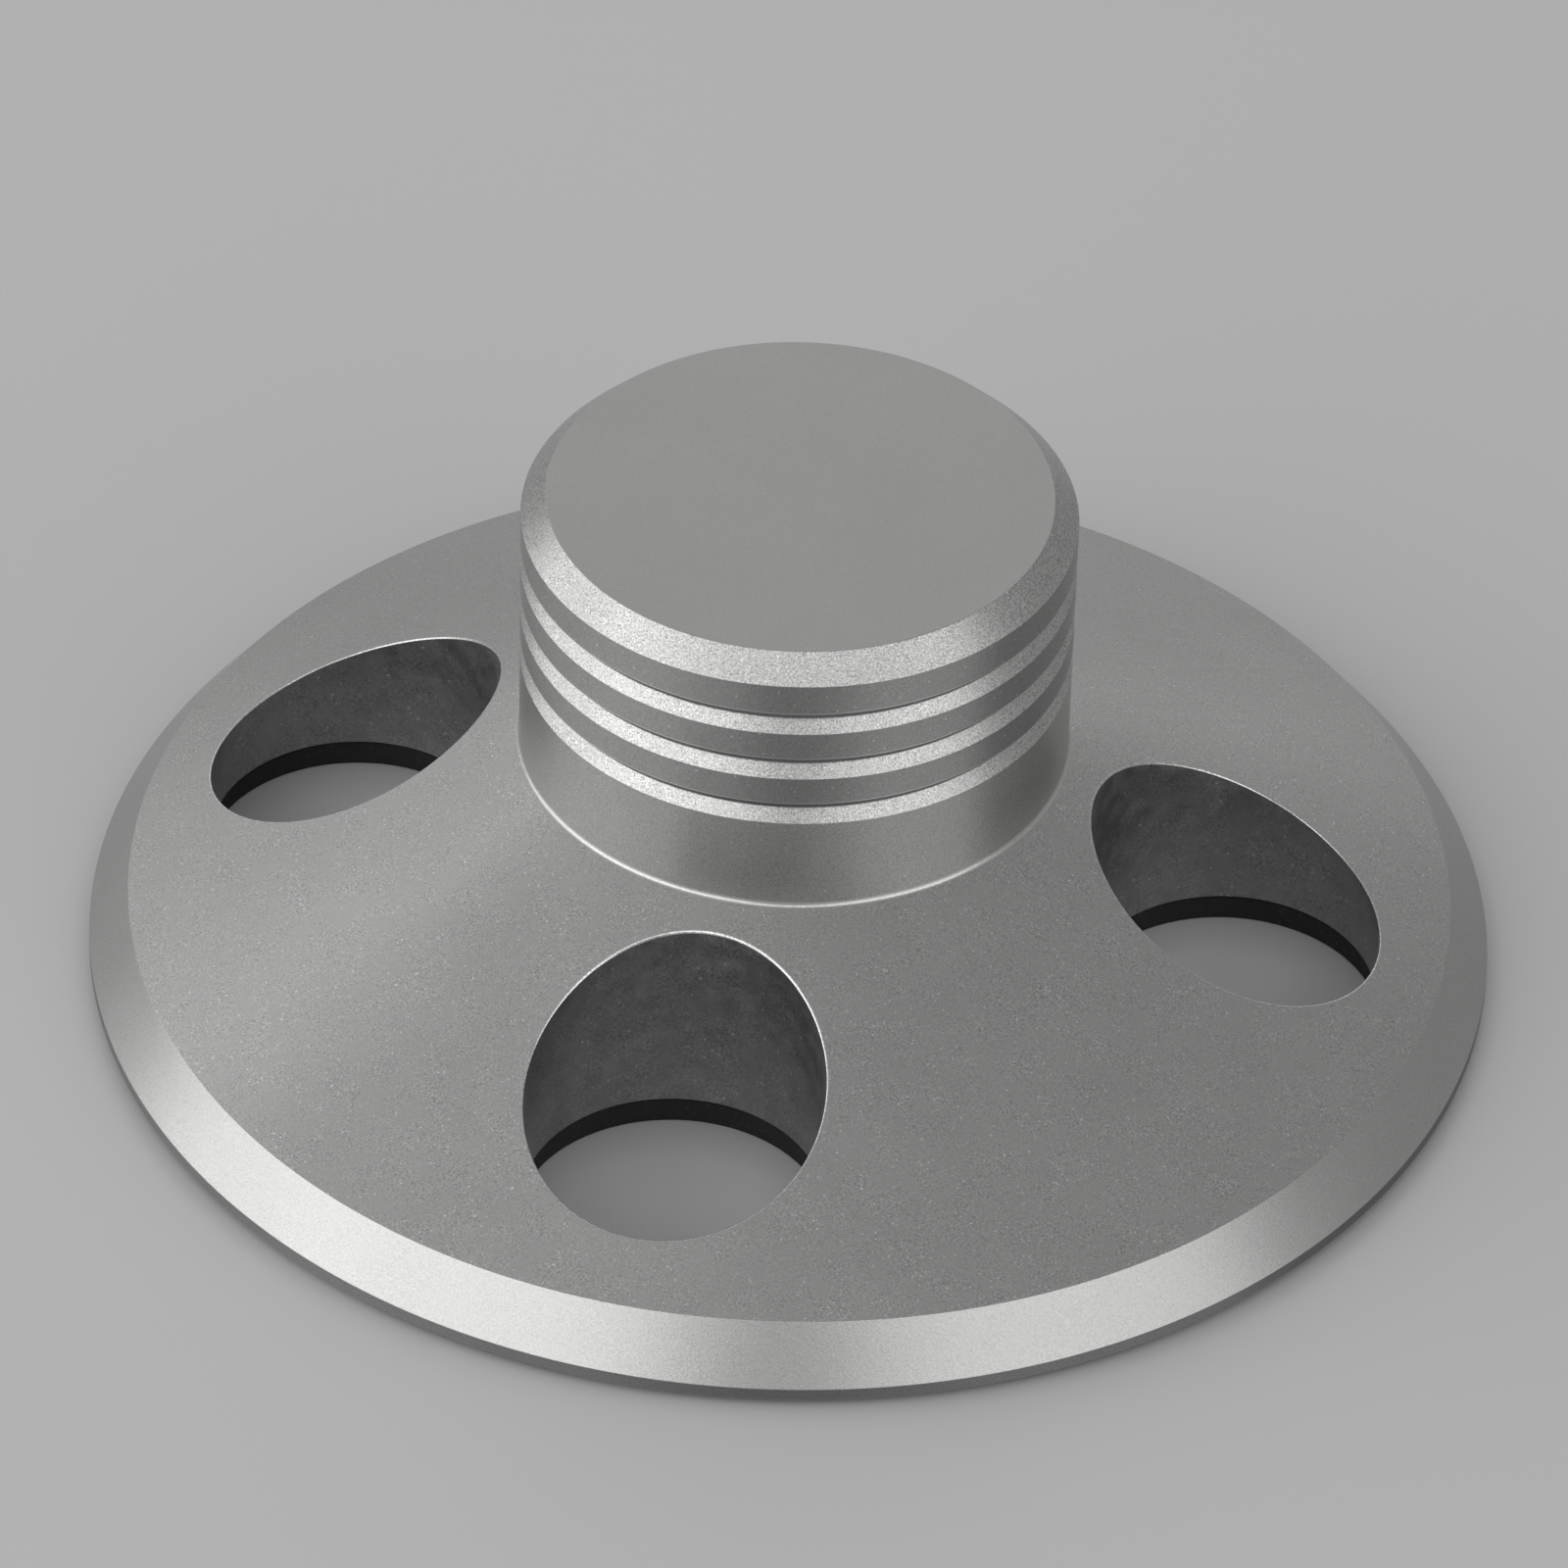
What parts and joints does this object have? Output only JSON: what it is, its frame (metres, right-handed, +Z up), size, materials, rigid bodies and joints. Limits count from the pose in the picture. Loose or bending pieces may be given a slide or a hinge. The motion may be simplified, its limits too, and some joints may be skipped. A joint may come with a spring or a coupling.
{
  "type": "record weight",
  "caption": "Turned metal record weight: a cone-faced disc with round openings and a grooved finger grip, on a soft black pad, with a blind bore for the spindle.",
  "frame": {"origin": "centre of the pad's resting face, where the spindle's axis meets the record", "axes": "+Z up the spindle's axis through the grip; +X and -Y each through the centre of a round opening"},
  "size_m": [0.08, 0.08, 0.0318],
  "materials": {
    "satin_metal": "bead-blasted and clear anodised, satin",
    "black_pad": "matte black"
  },
  "bodies": {
    "root": {"weight_body": "satin_metal", "base_pad": "black_pad"}
  },
  "joints": []
}
